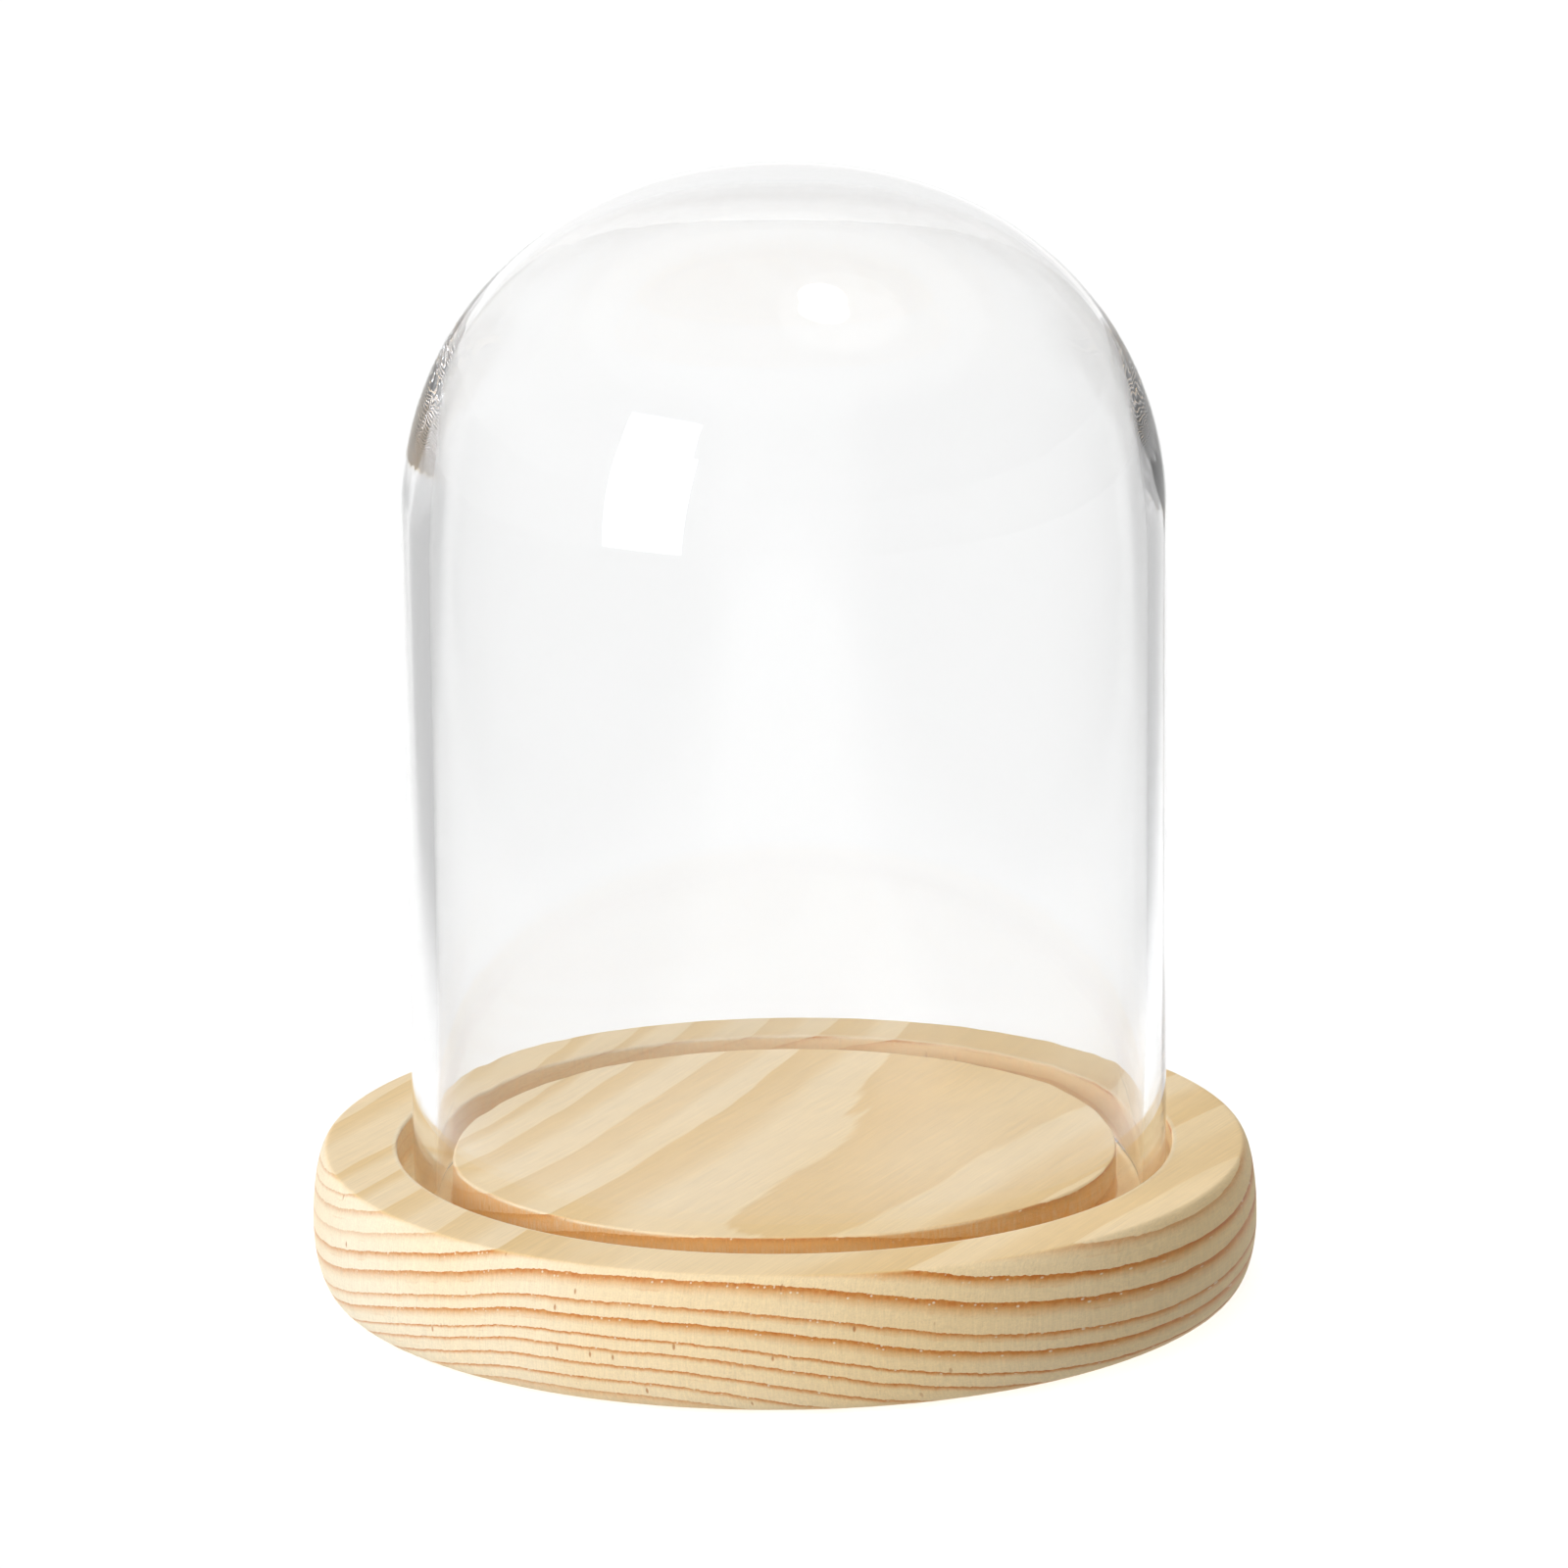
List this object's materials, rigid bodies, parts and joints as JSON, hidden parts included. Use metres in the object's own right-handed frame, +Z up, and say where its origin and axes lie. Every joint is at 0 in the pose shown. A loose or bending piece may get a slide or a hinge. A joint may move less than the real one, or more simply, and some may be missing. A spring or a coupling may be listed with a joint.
{
  "type": "bell jar dome",
  "caption": "Clear glass bell jar with a rounded closed top, standing loose in the turned groove of a round pine base, to cover and show a small object.",
  "frame": {"origin": "centre of the base's underside, on the surface that the jar stands on", "axes": "+Z up through the middle of the base, -Y towards the viewer, +X to the viewer's right"},
  "size_m": [0.125, 0.125, 0.1479],
  "materials": {
    "wood": "bare sanded pine, flat-sawn, with open grain and no varnish",
    "glass": "clear blown glass, polished, with a fire-polished rim"
  },
  "bodies": {
    "base": {"wooden_base": "wood"},
    "dome": {"glass_dome": "glass"}
  },
  "joints": [
    {"name": "dome_lift", "type": "slide", "parent": "base", "child": "dome", "axis": [0, 0, 1], "range_m": [0, 0.15]}
  ]
}
